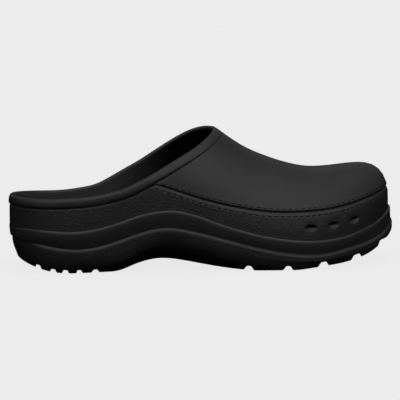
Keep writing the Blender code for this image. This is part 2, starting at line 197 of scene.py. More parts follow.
def drawn_in(angle, edge, share):
    """Loops at shares of the way from the middle line out to an edge, from above."""
    middle = middle_line(angle)
    return middle + (edge[..., :2] - middle) * share[:, None, None]


def way(value, start, end):
    """How far a value is on its way from a start to an end, from nothing to one."""
    return np.clip((value - start) / (end - start), 0.0, 1.0)


def eased(share):
    """A share eased at both ends: three times its square less twice its cube."""
    return share * share * (3 - 2 * share)


def curve_through(points, count):
    """A smooth curve through the rows of a short table, at evenly spaced steps of the row number.

    Each stretch is a cubic whose end slopes are half the step from the row before to the row after.
    """
    points = np.array(points, dtype=float)
    slope = np.gradient(points, axis=0)
    at = np.linspace(0, len(points) - 1, count)
    row = np.minimum(at.astype(int), len(points) - 2)
    t = (at - row)[:, None]
    start = (1 + 2 * t) * (1 - t) ** 2 * points[row] + t * (1 - t) ** 2 * slope[row]
    return start + t * t * (3 - 2 * t) * points[row + 1] + t * t * (t - 1) * slope[row + 1]


def cells(index, wrap=False):
    """Corners of the cells of a grid of point numbers whose columns close on themselves.

    With wrap, the last row also joins the first.
    """
    below = index if wrap else index[:-1]
    above = np.roll(index, -1, axis=0) if wrap else index[1:]
    corners = [below, np.roll(below, -1, axis=1), np.roll(above, -1, axis=1), above]
    return np.stack(corners, axis=-1)


def folded(rows, columns):
    """Point numbers of a grid whose first and last rows lie folded double on the middle line."""
    index = np.arange(rows * columns).reshape(rows, columns)
    fold = np.minimum(np.arange(columns), columns - np.arange(columns))
    index[0] = fold
    index[-1] = (rows - 1) * columns + fold
    return index


def make_piece(name, points, faces, material, **shares):
    """A mesh object of smooth faces, in metres about the origin, that rides on the root.

    Each share named puts a number at every point, for the material to read.
    """
    used, faces = np.unique(faces, return_inverse=True)
    faces = faces.reshape(-1, 4)
    mesh = bpy.data.meshes.new(name)
    mesh.from_pydata(((points.reshape(-1, 3)[used] - CENTRE) * MM).tolist(), [], faces.tolist())
    mesh.polygons.foreach_set("use_smooth", np.ones(len(mesh.polygons), dtype=bool))
    for share, values in shares.items():
        layer = mesh.attributes.new(share, "FLOAT", "POINT")
        layer.data.foreach_set("value", values.reshape(-1)[used].astype(np.float32))
    mesh.materials.append(material)
    mesh.update()
    piece = bpy.data.objects.new(name, mesh)
    bpy.context.scene.collection.objects.link(piece)
    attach(piece, "root")
    return piece


class Shade:
    """One value in a material. Arithmetic on it adds Math nodes to the material's tree."""

    def __init__(self, tree, socket):
        self.tree = tree
        self.socket = socket

    def node(self, kind, settings, inputs, output=0):
        """Any node: its settings are set first, then the values or links of its sockets."""
        node = self.tree.nodes.new(kind)
        for name, value in settings.items():
            setattr(node, name, value)
        for name, value in inputs.items():
            if isinstance(value, Shade):
                self.tree.links.new(value.socket, node.inputs[name])
            else:
                node.inputs[name].default_value = value
        return Shade(self.tree, node.outputs[output])

    def math(self, operation, first, second):
        """One step of arithmetic on two values."""
        return self.node("ShaderNodeMath", {"operation": operation}, {0: first, 1: second})

    def __add__(self, other):
        return self.math("ADD", self, other)

    def __radd__(self, other):
        return self.math("ADD", other, self)

    def __sub__(self, other):
        return self.math("SUBTRACT", self, other)

    def __rsub__(self, other):
        return self.math("SUBTRACT", other, self)

    def __mul__(self, other):
        return self.math("MULTIPLY", self, other)

    def __rmul__(self, other):
        return self.math("MULTIPLY", other, self)

    def attribute(self, name):
        """The share of that name at each point of the mesh."""
        return self.node("ShaderNodeAttribute", {"attribute_name": name}, {}, "Fac")

    def axes(self):
        """The three coordinates of a place, each as a value."""
        split = self.node("ShaderNodeSeparateXYZ", {}, {0: self})
        return [Shade(self.tree, output) for output in split.socket.node.outputs]

    def noise(self, size, detail=2.0):
        """Cloudy pattern about a middle of 0.5, with features of a size in millimetres."""
        inputs = {"Vector": self, "Scale": 1 / (size * MM), "Detail": detail}
        return self.node("ShaderNodeTexNoise", {}, inputs, "Fac")

    def pebbles(self, size):
        """Distance from the middle of the nearest of many small rounded cells, of a size in millimetres."""
        inputs = {"Vector": self, "Scale": 1 / (size * MM)}
        return self.node("ShaderNodeTexVoronoi", {"feature": "SMOOTH_F1"}, inputs, "Distance")

    def blend(self, dark, light):
        """A colour between two, by this value."""
        inputs = {0: self, 6: (*dark, 1.0), 7: (*light, 1.0)}
        return self.node("ShaderNodeMix", {"data_type": "RGBA"}, inputs, 2)


def material_of(name, specular):
    """A new material: its shader, and the place on the object as the value to build its patterns on."""
    material = bpy.data.materials.new(name)
    material.use_nodes = True
    tree = material.node_tree
    shader = tree.nodes["Principled BSDF"]
    shader.inputs["Specular IOR Level"].default_value = specular
    place = tree.nodes.new("ShaderNodeTexCoord")
    return material, shader, Shade(tree, place.outputs["Object"])


def dress(shader, place, colour, roughness, relief, depth):
    """Feed a material's colour, roughness and relief, whose depth is in millimetres."""
    bump = place.node("ShaderNodeBump", {}, {"Strength": 1.0, "Distance": depth * MM, "Height": relief})
    for value, name in ((colour, "Base Color"), (roughness, "Roughness"), (bump, "Normal")):
        place.tree.links.new(value.socket, shader.inputs[name])


# Grooves between the lugs: station at the outer edge, depth, width at the mouth and at the top, how much
# further forward the groove is for each step across the shoe, and whether its roof follows the tread's slope.
# The last is the level step in front of the foremost lug.
GROOVE, DEPTH, MOUTH, TOP, SLANT, FOLLOWS = np.array([
    (19.3, 2.6, 4.6, 2.0, 0.12, 1),
    (29.5, 2.6, 5.2, 2.2, 0.12, 1),
    (38, 2.8, 5.4, 2.4, 0.12, 1),
    (47.9, 2.8, 4.8, 2.2, 0.12, 1),
    (59.5, 2.8, 6.0, 2.4, 0.12, 1),
    (168, 3.6, 8.0, 2.4, 0.17, 1),
    (195.5, 3.6, 8.0, 2.4, 0.17, 1),
    (221.5, 3.8, 8.6, 3.2, 0.17, 1),
    (248, 4.0, 9.0, 3.4, 0.17, 1),
    (273, 2.0, 11.8, 9.0, 0.05, 0),
]).T

# Shoulder of the outsole: height above its line, how far proud of the side, and share of the fall in to the
# midsole.
SHOULDER = (
    (-3.3, 0.52, 0.0), (-2.4, 0.58, 0.0), (-1.7, 0.60, 0.0), (-1.15, 0.60, 0.02),
    (-0.75, 0.60, 0.09), (-0.4, 0.60, 0.22), (-0.05, 0.60, 0.43), (0.3, 0.60, 0.68),
    (0.6, 0.60, 0.89), (0.85, 0.60, 1.0), (1.05, 0.60, 1.06),
)
SHOULDER_LOOPS = 21
LINE_DEPTH = 0.8  # how far the side lies behind the crest of a shoulder
TOE_ROUND = (225.0, 280.0)  # stations over which the shoulders sink towards the toe
HEEL_ROUND = (32.0, 0.0)  # and towards the back of the heel
TOE_SUNK = 0.3  # share of a shoulder that is gone at the toe
HEEL_SUNK = 0.6  # and at the heel
BAND_BACK = 0.4  # how far the midsole's lower edge lies behind the side
BAND_OUT_TOE = 1.4  # how far it comes out again at the toe
BAND_OUT_HEEL = 2.0  # and at the heel
TREAD_LOOPS = 28
BEND_LOOPS = 9  # loops of the tread's rounded edge
BEND_END = 75.0  # turn of that edge, in degrees, where the side takes over
SIDE_LOOPS = 9
SIDE_BELLY = 0.35  # how far the side swells out
JOINT_SHARES = np.array([0.94, 0.82, 0.5, 0.0])  # loops of the joint, as shares of the way out
JOINT_LATE = 4  # how late the joint climbs to its edge
SOLE_COLUMNS = 960
SOLE_HALF = SOLE_COLUMNS // 2
SOLE_TURN = np.linspace(0, 2 * np.pi, SOLE_COLUMNS, endpoint=False)
sole_station = station_of(SOLE_TURN)
low_line = read(HEIGHTS, "low_line", sole_station)
high_line = read(HEIGHTS, "high_line", sole_station)
low_in = read(SIDE, "low_in", sole_station) + LINE_DEPTH
high_in = read(SIDE, "high_in", sole_station) + LINE_DEPTH
foot_in, turn_in, turn_up = (read(SIDE, name, sole_station) for name in ("foot_in", "turn_in", "turn_up"))
tread_edge = ring(SOLE_TURN, foot_in + turn_in, 0.0)
groove_edge = np.interp(GROOVE, sole_station[:SOLE_HALF], tread_edge[:SOLE_HALF, 1])


def ground(flat):
    """Height of the tread over points in plan: level under heel and ball, and raised in each groove.

    A groove's ramp falls from one at its roof to nothing at its mouth, eased at both ends. The roof lies a
    depth above the tread, or, where it doesn't follow the tread, above the tread's height in the middle of
    the groove.
    """
    station = flat[..., :1]
    tread = np.maximum(read(HEIGHTS, "tread", station), 0.0)
    middle = GROOVE + SLANT * (flat[..., 1:2] - groove_edge)
    ramp = eased(way(np.abs(station - middle), MOUTH / 2, TOP / 2))
    roof = DEPTH + (read(HEIGHTS, "tread", middle) - tread) * (1 - FOLLOWS)
    return tread[..., 0] + (np.maximum(roof, 0.0) * ramp).max(axis=-1)


def dished(edge, share, name, late):
    """Loops of a dished surface: its own height in the middle, climbing late to the height of its edge.

    The climb is the share of the way out, to a power.
    """
    flat = drawn_in(SOLE_TURN, edge, share)
    level = read(HEIGHTS, name, flat[..., 0])
    return raised(flat, level + (edge[:, 2] - level) * share[:, None] ** late)


tread_flat = drawn_in(SOLE_TURN, tread_edge, np.linspace(0, 1, TREAD_LOOPS))
tread_rows = raised(tread_flat, ground(tread_flat))
bend = np.radians(np.linspace(0, BEND_END, BEND_LOOPS))[1:, None]
bend_in = foot_in + turn_in * (1 - np.sin(bend))
edge_height = np.maximum(read(HEIGHTS, "tread", tread_edge[:, 0]), 0.0)
bend_height = edge_height + turn_up * (1 - np.cos(bend))
bend_rows = ring(SOLE_TURN, bend_in, bend_height)
toeward = way(sole_station, *TOE_ROUND) ** 2
heelward = way(sole_station, *HEEL_ROUND) ** 2
band_base_in = np.maximum(low_in, high_in) + BAND_BACK - BAND_OUT_TOE * toeward - BAND_OUT_HEEL * heelward
above, proud, fall = curve_through(SHOULDER, SHOULDER_LOOPS).T[:, :, None]
proud = proud * (1 - TOE_SUNK * toeward - HEEL_SUNK * heelward)
proud = proud - fall * (proud + band_base_in - low_in)
climb = np.linspace(0, 1, SIDE_LOOPS)[1:-1, None]
side_foot, foot_height = bend_in[-1], bend_height[-1]
side_in = side_foot + (low_in - proud[0] - side_foot) * climb - SIDE_BELLY * np.sin(np.pi * climb)
side_rows = ring(SOLE_TURN, side_in, foot_height + (low_line + above[0] - foot_height) * climb)
shoulder_rows = ring(SOLE_TURN, low_in - proud, low_line + above)
for loops in (bend_rows, side_rows):
    loops[..., 2] = np.maximum(loops[..., 2], ground(loops[..., :2]))
joint_rows = dished(shoulder_rows[-1], JOINT_SHARES, "core", JOINT_LATE)
outsole_points = np.concatenate([tread_rows, bend_rows, side_rows, shoulder_rows, joint_rows])

# The grain dies away up the shoulder. Painted shade darkens the rubber towards the tread, most under heel and
# arch.
RUBBER_DARK = (0.008, 0.008, 0.0082)
RUBBER_LIGHT = (0.032, 0.032, 0.0328)
SMOOTH_HEIGHTS = (-2.6, -0.6)  # heights above the line over which the grain dies away
SHADE_FROM = 2.0  # height above the foot of the side where the painted shade starts
SHADE_TO = -3.0  # and where it is darkest
SHADE_STATIONS = (140.0, 190.0)  # stations between which the painted shade changes
SHADE_SHARES = (1.0, 0.15)  # from all of it to this share
first = len(tread_rows) + len(bend_rows) + len(side_rows)
smooth_share = np.zeros(outsole_points.shape[:2])
smooth_share[first:first + len(shoulder_rows)] = way(above, *SMOOTH_HEIGHTS)
# Painted shade: the rubber's colour is made darker low on the side and under the tread, where little light
# falls.
painted_shade_low = way(outsole_points[..., 2], foot_height + SHADE_FROM, foot_height + SHADE_TO)
painted_shade_low = painted_shade_low * np.interp(outsole_points[..., 0], SHADE_STATIONS, SHADE_SHARES)

rubber, shader, place = material_of("grained_rubber", 0.5)
grain = (place.pebbles(1.0) + place.noise(0.7, 3.0)) * (1 - 0.8 * place.attribute("smooth"))
# The share "low" is painted shade: it pulls the rubber's colour towards dark.
tone = (place.noise(14, 3.0) - 0.8 * place.attribute("low")).blend(RUBBER_DARK, RUBBER_LIGHT)
roughness = 0.42 + 0.10 * place.noise(5.0) - 0.08 * place.attribute("smooth")
dress(shader, place, tone, roughness, grain, 0.12)
outsole_faces = cells(folded(*outsole_points.shape[:2]))
outsole_shares = {"smooth": smooth_share, "low": painted_shade_low}
outsole = make_piece("outsole_rubber", outsole_points, outsole_faces, rubber, **outsole_shares)
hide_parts("outsole")

# Midsole. A smooth tray of black foam, moulded in one piece: the plain band above the outsole, the rounded
# shoulder that shows as the upper bright line, a ledge for the foot of the upper, and the footbed inside.
WALL = 3.4  # wall of the upper, whose foot stands on the ledge
LEDGE_SPARE = 0.6  # how much wider the ledge is than the wall
LEDGE_UP = 0.95  # height of its inner edge above the upper line
BAND_UP = 0.6  # height of the band's lower edge above the lower line
BAND_LOOPS = 11
BAND_SWELL = 1.5  # power of the swell: the band comes out sooner than it climbs
BED_SHARES = np.array([1.0, 0.985, 0.95, 0.87, 0.72, 0.42, 0.0])  # loops of the footbed
BED_LATE = 12  # how late the footbed climbs to its edge
BAND_DARK = (0.029, 0.029, 0.0295)
BAND_LIGHT = (0.037, 0.037, 0.0376)

# Shoulder of the band: height above its line, and how far proud of the side. At the heel its lower half sinks
# in all the way, and at the toe its top draws back with the foot of the upper.
BAND_SHOULDER = (
    (-3.8, 0.84), (-3.0, 0.88), (-2.3, 0.90), (-1.7, 0.90), (-1.1, 0.86),
    (-0.5, 0.76), (0.0, 0.59), (0.4, 0.32), (0.7, 0.0), (0.9, -0.35),
)
BAND_SHOULDER_LOOPS = 19
LOWER_HALF = (-0.5, -2.5)  # heights above the line over which it sinks so
SHOULDER_TOP = (0.3, 0.9)  # heights above the line over which the top draws back
TOE_SET = (255.0, 280.0)  # stations over which it draws back


def toe_back(station):
    """How far back the foot of the upper is set at the toe, up to a millimetre: the way there, squared."""
    return way(station, *TOE_SET) ** 2


above, proud = curve_through(BAND_SHOULDER, BAND_SHOULDER_LOOPS).T[:, :, None]
heel_sunk = HEEL_SUNK + (1 - HEEL_SUNK) * way(above, *LOWER_HALF)
proud = proud * (1 - TOE_SUNK * toeward - heel_sunk * heelward)
proud = proud - toe_back(sole_station) * way(above, *SHOULDER_TOP)
base_height = low_line + BAND_UP
climb = np.linspace(0, 1, BAND_LOOPS)[:, None]
band_in = band_base_in + (high_in - proud[0] - band_base_in) * (1 - (1 - climb) ** BAND_SWELL)
band_rows = ring(SOLE_TURN, band_in, base_height + (high_line + above[0] - base_height) * climb)
crest_rows = ring(SOLE_TURN, high_in - proud, high_line + above)
lip = ring(SOLE_TURN, high_in + WALL + LEDGE_SPARE + toe_back(sole_station), high_line + LEDGE_UP)
under_rows = dished(band_rows[0], JOINT_SHARES[::-1], "core", JOINT_LATE)
bed_rows = dished(lip, BED_SHARES, "footbed", BED_LATE)
midsole_points = np.concatenate([under_rows, band_rows, crest_rows[1:], bed_rows])

satin, shader, place = material_of("satin_foam", 0.55)
tone = place.noise(18, 3.0).blend(BAND_DARK, BAND_LIGHT)
dress(shader, place, tone, 0.30 + 0.08 * place.noise(6.0), place.noise(0.8, 3.0), 0.05)
midsole = make_piece("midsole_band", midsole_points, cells(folded(*midsole_points.shape[:2])), satin)
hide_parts("midsole")

# Insole. A cushioned sheet pressed to the dish of the footbed and laid loose in the tray, covered with a matt
# cloth. Its edge is rounded.
INSOLE = 3.6  # thickness of the sheet
BED_GAP = 0.45  # height of its underside over the footbed
UNDER_SHARES = np.array([0.0, 0.42, 0.72, 0.87, 0.93])  # loops of its underside, as shares of the way out
EDGE_SHARES = np.array([0.947, 0.95, 0.951])  # loops of its edge
EDGE_UP = np.array([0.15, 0.4, 0.62])  # and their heights, as shares of the thickness
TOP_SHARES = np.concatenate([[0.95, 0.945, 0.935, 0.92], np.linspace(0.9, 0, 22)])  # loops of its top
ROUND_SHARES = (0.9, 0.95)  # shares of the way out over which the top falls to the edge
ROUND_FALL = 0.28  # share of the thickness that it falls
THREADS = 5200.0  # pace of the weave, in radians to a metre
CLOTH_DARK = (0.014, 0.014, 0.0145)
CLOTH_LIGHT = (0.024, 0.024, 0.025)
sheet_under = dished(lip, UNDER_SHARES, "footbed", BED_LATE)
sheet_edge = dished(lip, EDGE_SHARES, "footbed", BED_LATE)
sheet_edge[..., 2] += INSOLE * EDGE_UP[:, None]
sheet_top = dished(lip, TOP_SHARES, "footbed", BED_LATE)
sheet_top[..., 2] += INSOLE * (1 - ROUND_FALL * way(TOP_SHARES, *ROUND_SHARES) ** 2)[:, None]
insole_points = np.concatenate([sheet_under, sheet_edge, sheet_top]) + (0, 0, BED_GAP)

cloth, shader, place = material_of("insole_cloth", 0.25)
lengthways, sideways, _ = place.axes()
weave = place.math("SINE", lengthways * THREADS, 0.0) * place.math("SINE", sideways * THREADS, 0.0)
tone = place.noise(9, 3.0).blend(CLOTH_DARK, CLOTH_LIGHT)
dress(shader, place, tone, 0.82 + 0.10 * place.noise(3.0), 0.5 * weave + place.noise(0.7), 0.16)
insole = make_piece("insole_sheet", insole_points, cells(folded(*insole_points.shape[:2])), cloth)
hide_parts("insole")

# Upper. One shell of black foam with an even wall, moulded with its rolled rim, its seam and six scooped
# vents. The vamp is smooth and the wall below the seam is finely grained. Its foot is glued on the midsole's
# ledge.
FOOT_UP = 1.6  # height of the foot above the upper line

# Ribs that the upper is drawn over: height of the top, and how square the shoulder is.
RIBS = table(
    "station top_height square",
    (0, 118.0, 2.4),
    (60, 118.0, 2.4),
    (100, 116.0, 2.2),
    (130, 110.0, 2.05),
    (145, 104.2, 2.0),
    (155, 97.3, 2.0),
    (173, 85.2, 2.05),
    (190, 77.7, 2.15),
    (207, 72.4, 2.3),
    (225, 69.2, 2.5),
    (245, 69.4, 2.65),
    (265, 70.8, 2.85),
    (285, 71.6, 2.95),
)

# Foot of the rim on the outer and on the inner side; the last row is the throat.
COLLAR = table(
    "station outer inner",
    (0, 47.8, 47.8),
    (25, 46.8, 46.4),
    (42, 47.2, 46.1),
    (56, 48.2, 47.5),
    (70, 50.5, 50.3),
    (84, 54.4, 57.3),
    (99, 62.0, 66.1),
    (114, 70.5, 75.5),
    (128, 78.6, 84.8),
    (140, 85.8, 91.8),
    (150, 92.3, 95.3),
    (156.5, 96.256, 96.256),
)
COLLAR_POINTS = 900  # points on each side of the rim's foot
LEVEL = 88.0  # up to this station the rim's columns stand straight over the sole's
THROAT_PACE = 0.45  # pace of the rim's columns at the throat

# Height of the seam. Behind station 100 or so it lies above the rim and doesn't show.
SEAM = table(
    "station height",
    (0, 70.0),
    (95, 65.6),
    (103, 63.2),
    (115, 59.0),
    (130, 53.8),
    (145, 49.5),
    (160, 46.3),
    (180, 43.1),
    (202, 42.4),
    (222, 43.2),
    (242, 45.8),
    (262, 50.1),
    (276, 53.3),
    (285, 55.0),
)
RIM_SPARE = 0.3  # least height of the rim's foot over the seam's row
HEEL_SPARE = 5.5  # how much more that is round the heel
HEEL_STATIONS = (102.0, 62.0)  # stations over which it grows
UPPER_COLUMNS = 640
UPPER_HALF = UPPER_COLUMNS // 2
UPPER_TURN = np.linspace(0, 2 * np.pi, UPPER_COLUMNS, endpoint=False)
COLUMNS_APART = 1000.0  # sets columns apart on one line, more than any is long
HALVINGS = 30
upper_station = station_of(UPPER_TURN)


def angle_of(station):
    """Angle of a station on the outer side."""
    return np.arccos(1 - 2 * station / LENGTH)


def line_height(angle):
    """Height of the upper bright line at an angle."""
    return read(HEIGHTS, "high_line", station_of(angle))


def rib(angle):
    """Foot and top in plan of the rib at an angle, the heights of both, and how square its shoulder is."""
    x = station_of(angle)
    foot = plan(angle, read(SIDE, "high_in", x) + LINE_DEPTH + toe_back(x))
    base = line_height(angle) + FOOT_UP
    return foot, middle_line(angle), base, read(RIBS, "top_height", x), read(RIBS, "square", x)


def at_height(angle, height):
    """Point of each rib at a height: a superellipse from its upright foot to its level top."""
    foot, top, base, top_height, square = rib(angle)
    reach = (1 - way(height, base, top_height) ** square) ** (1 / square)
    return raised(top + (foot - top) * reach[..., None], height)


def height_over(flat):
    """Height of the upper over points in plan. The rib through each point is found by halving the turn."""
    def offset(turn, side):
        foot, top, *rest = rib(np.where(side > 0, turn, 2 * np.pi - turn))
        reach, away = foot - top, flat - top
        return away[..., 0] * reach[..., 1] - away[..., 1] * reach[..., 0], away, reach, rest

    ridge = np.interp(flat[..., 0], MIDDLE["top_station"], MIDDLE["top_side"])
    side = np.where(flat[..., 1] < ridge, 1.0, -1.0)
    back, front = np.zeros(flat.shape[:-1]), np.full(flat.shape[:-1], np.pi)
    for _ in range(HALVINGS):
        middle = (back + front) / 2
        ahead = offset(middle, side)[0] * side < 0
        back, front = np.where(ahead, middle, back), np.where(ahead, front, middle)
    _, away, reach, (base, top_height, square) = offset((back + front) / 2, side)
    share = np.clip(np.linalg.norm(away, axis=-1) / np.linalg.norm(reach, axis=-1), 0.0, 1.0)
    return base + (top_height - base) * (1 - share ** square) ** (1 / square)


def run_along(points):
    """Distance along each column of a grid, or along one line of points."""
    step = np.linalg.norm(np.diff(points, axis=0), axis=-1)
    return np.concatenate([np.zeros_like(step[:1]), np.cumsum(step, axis=0)])


def along_line(at, run, line):
    """Points at distances along one line, whose own points lie at the distances of its run."""
    return np.column_stack([np.interp(at, run, line[:, axis]) for axis in range(3)])


def spread(points, run, wanted):
    """Points at wanted distances along each column of a grid, every column with its own distances."""
    apart = COLUMNS_APART * np.arange(run.shape[1])
    at, ask = (run + apart).T.ravel(), (wanted + apart).T.ravel()
    found = along_line(ask, at, points.transpose(1, 0, 2).reshape(-1, 3))
    return found.reshape(wanted.shape[1], wanted.shape[0], 3).transpose(1, 0, 2)


def rim_side(name, sign):
    """The rim's foot at each column of one side: level with the sole's at the heel, then on to the throat.

    On the way to the throat the columns set off at the sole's own pace and arrive at the throat's: an eased
    share, with a cubic added for each of the two paces.
    """
    fine_station = COLLAR["station"][-1] * (1 - (1 - np.linspace(0, 1, COLLAR_POINTS)) ** 2)
    fine = at_height(sign * angle_of(fine_station), read(COLLAR, name, fine_station))
    fine_run = run_along(fine)
    here = upper_station[:UPPER_HALF + 1]
    base_run = run_along(plan(UPPER_TURN[:UPPER_HALF + 1] * sign))
    level_run = np.interp(LEVEL, fine_station, fine_run)
    start = np.interp(LEVEL, here, base_run)
    share = way(base_run, start, base_run[-1])
    reach = fine_run[-1] - level_run
    gone = eased(share) + (base_run[-1] - start) / reach * share * (1 - share) ** 2
    gone -= THROAT_PACE * share ** 2 * (1 - share)
    wanted = np.where(here < LEVEL, np.interp(here, fine_station, fine_run), level_run + reach * gone)
    return along_line(wanted, fine_run, fine)


def unit(vectors):
    """Vectors divided by their lengths."""
    return vectors / np.linalg.norm(vectors, axis=-1, keepdims=True)


def outward(grid):
    """Unit normals of a grid of loops, out of the shoe."""
    along = np.roll(grid, -1, axis=1) - np.roll(grid, 1, axis=1)
    return unit(np.cross(along, np.gradient(grid, axis=0)))


def evened(values, width):
    """Values round a loop, averaged over a bell-shaped window that many columns wide."""
    turn = np.arange(-4 * width, 4 * width + 1)
    window = np.exp(-0.5 * (turn / width) ** 2)
    return sum(share * np.roll(values, step, axis=0) for step, share in zip(turn, window / window.sum()))


# The wall from its foot to the seam, and the vamp from the seam to the rim, both as fine columns. Where the
# seam has run into the rim its row is kept below the rim, and how far the seam would lie above it is noted.
WALL_POINTS = 90
VAMP_POINTS = 220
rim_foot = np.concatenate([rim_side("outer", 1.0), rim_side("inner", -1.0)[-2:0:-1]])
seam_line = read(SEAM, "height", upper_station)
seam_top = rim_foot[:, 2] - RIM_SPARE - HEEL_SPARE * way(upper_station, *HEEL_STATIONS)
seam_over = np.maximum(seam_line - seam_top, 0.0)
seam_height = seam_line - seam_over
wall_foot = line_height(UPPER_TURN) + FOOT_UP
climb = np.linspace(0, 1, WALL_POINTS)[:, None]
wall_turn = np.broadcast_to(UPPER_TURN, (WALL_POINTS, UPPER_COLUMNS))
wall_fine = at_height(wall_turn, wall_foot + (seam_height - wall_foot) * climb)
seam = wall_fine[-1]
climb = np.linspace(0, 1, VAMP_POINTS + 1)[1:, None]
flat = seam[:, :2] + (rim_foot - seam)[:, :2] * (climb ** 2)[..., None]
over = raised(flat, height_over(flat))
vamp_turn = np.broadcast_to(UPPER_TURN, (VAMP_POINTS, UPPER_COLUMNS))
straight = at_height(vamp_turn, seam_height + (rim_foot[:, 2] - seam_height) * climb)
vamp_fine = np.where((upper_station < LEVEL)[:, None], straight, over)
fine = np.concatenate([wall_fine, vamp_fine])
fine_run = run_along(fine)
seam_run, rim_run = fine_run[WALL_POINTS - 1], fine_run[-1]
vamp_run = rim_run - seam_run

# Rows of the outside: even up the wall, close together at the seam and its stitches, and again under the rim.
# Above the seam each distance is held to a share of the vamp, which is narrow at the heel.
NEAR = 4.8  # distance below the seam where the rows draw together
CLOSE = 1.2  # distance on both sides of the seam where they are closest
PAST = 3.2  # distance above the seam where they part again
BELOW_RIM = 2.0  # distance below the rim where they draw together again
CLOSE_SHARE = 0.2
PAST_SHARE = 0.45
RIM_SHARE = 0.25
BAND_ROWS = (20, 12, 7, 7, 6, 26, 6)  # rows up to each of the distances
WALL_ROWS = BAND_ROWS[0] + 1
close_above = seam_run + np.minimum(CLOSE, CLOSE_SHARE * vamp_run)
past_above = seam_run + np.minimum(PAST, PAST_SHARE * vamp_run)
below_rim = rim_run - np.minimum(BELOW_RIM, RIM_SHARE * vamp_run)
wanted = [np.zeros((1, UPPER_COLUMNS))]
distances = (seam_run - NEAR, seam_run - CLOSE, seam_run, close_above, past_above, below_rim, rim_run)
for distance, count in zip(distances, BAND_ROWS):
    start = wanted[-1][-1]
    wanted.append(start + (distance - start) * np.linspace(0, 1, count + 1)[1:, None])
wanted = np.concatenate(wanted)
outside = spread(fine, fine_run, wanted)
normal = outward(outside)
inside = outside - normal * WALL
inside[0, :, 2] = outside[0, :, 2]

# Relief of the outside: distance above the seam, and height of the relief there. The vamp's edge stands over
# the groove. Below the groove a smooth strip slopes out to the lower row of stitches, which lies in a shallow
# channel. Behind the seam's start the wall is creased under the rim.
SEAM_RELIEF = np.array([
    (-9.0, 0.0), (-6.5, 0.03), (-4.9, 0.10), (-4.35, 0.10), (-4.1, -0.02), (-3.9, -0.08), (-3.7, 0.0),
    (-3.45, 0.11), (-2.6, 0.0), (-1.7, -0.12), (-1.15, -0.26), (-0.85, -0.62), (-0.5, -1.3), (0.0, -1.7),
    (0.35, -1.1), (0.55, -0.2), (0.75, 0.06), (1.65, 0.08), (2.1, -0.05), (2.55, 0.07), (3.3, 0.04),
    (4.5, 0.0),
])
SEAM_START = (98.0, 108.0)  # stations over which the relief grows to its full height
START_SHARE = 0.7  # share of it at the first of them
CREASE_DEEP = 0.5
CREASE_WIDE = 0.8
CREASE_END = (118.0, 98.0)  # stations over which it deepens
from_seam = wanted - seam_run - seam_over
from_rim = rim_run - wanted
relief = np.interp(from_seam, *SEAM_RELIEF.T)
relief *= START_SHARE + (1 - START_SHARE) * way(upper_station, *SEAM_START)
relief -= CREASE_DEEP * np.exp(-(from_rim / CREASE_WIDE) ** 2) * way(upper_station, *CREASE_END)
dressed = outside + normal * relief[..., None]

# The rim: a profile carried round the collar in a frame of the wall's own normal and the way up from it. Of
# each row: how far up, and how far out on the wall behind the seam and on the vamp.
RIM = (
    (0.0, 0.0, 0.0), (0.15, 0.5, 0.18), (0.45, 1.05, 0.4), (0.95, 1.45, 0.58),
    (1.8, 1.64, 0.7), (2.8, 1.68, 0.7), (4.6, 1.62, 0.55), (5.6, 1.5, 0.36),
    (6.3, 1.2, 0.08), (6.8, 0.55, -0.35), (7.12, -0.4, -0.9), (7.2, -1.4, -1.5),
    (7.0, -2.4, -2.4), (6.2, -3.1, -3.1), (4.6, -3.4, -3.4), (2.4, -3.45, -3.45),
    (0.0, -WALL, -WALL),
)
RIM_LOOPS = 25
RIM_TALL = 7.2
RIM_EVEN = 4  # columns that its frame is evened over
VAMP_STATIONS = (98.0, 120.0)  # stations over which the wall's profile turns into the vamp's
# Where the rim stands out less: how much less, and the stations over which it sinks.
RIM_SINKS = ((0.5, 9.0, 0.0), (0.45, 175.0, 250.0), (0.35, 222.0, 267.0))
HEEL_LEAN = 0.9  # how far the top of the rim leans in at the heel
LEAN_STATIONS = (36.0, 10.0)  # stations over which it leans in
LEAN_OUTER = -1.0  # only what lies further out than this leans
WAIST_LOW = 0.06  # share by which the rim is lower beside the seam's start
WAIST = 106.0  # station where it is lowest
WAIST_WIDE = 12.0
BACK_LOW = 0.04  # share by which it is lower round the heel
BACK_STATIONS = (95.0, 75.0)  # stations over which it becomes so
rise, out, out_vamp = curve_through(RIM, RIM_LOOPS)[1:-1].T[:, :, None, None]
out = out + (out_vamp - out) * eased(way(upper_station, *VAMP_STATIONS))[:, None]
sunk = sum(share * way(upper_station, start, end) for share, start, end in RIM_SINKS)
out = out - np.maximum(out, 0) * sunk[:, None]
lean = HEEL_LEAN * way(upper_station, *LEAN_STATIONS)[:, None]
out = out - lean * (rise / RIM_TALL) ** 2 * (out > LEAN_OUTER)
waist = WAIST_LOW * np.exp(-((upper_station - WAIST) / WAIST_WIDE) ** 2)
rise = rise * (1 - waist - BACK_LOW * way(upper_station, *BACK_STATIONS))[:, None]
rim_normal = unit(evened(normal[-1], RIM_EVEN))
rim_along = unit(np.roll(rim_foot, -1, axis=0) - np.roll(rim_foot, 1, axis=0))
rim_rows = rim_foot + rim_normal * out + np.cross(rim_normal, rim_along) * rise

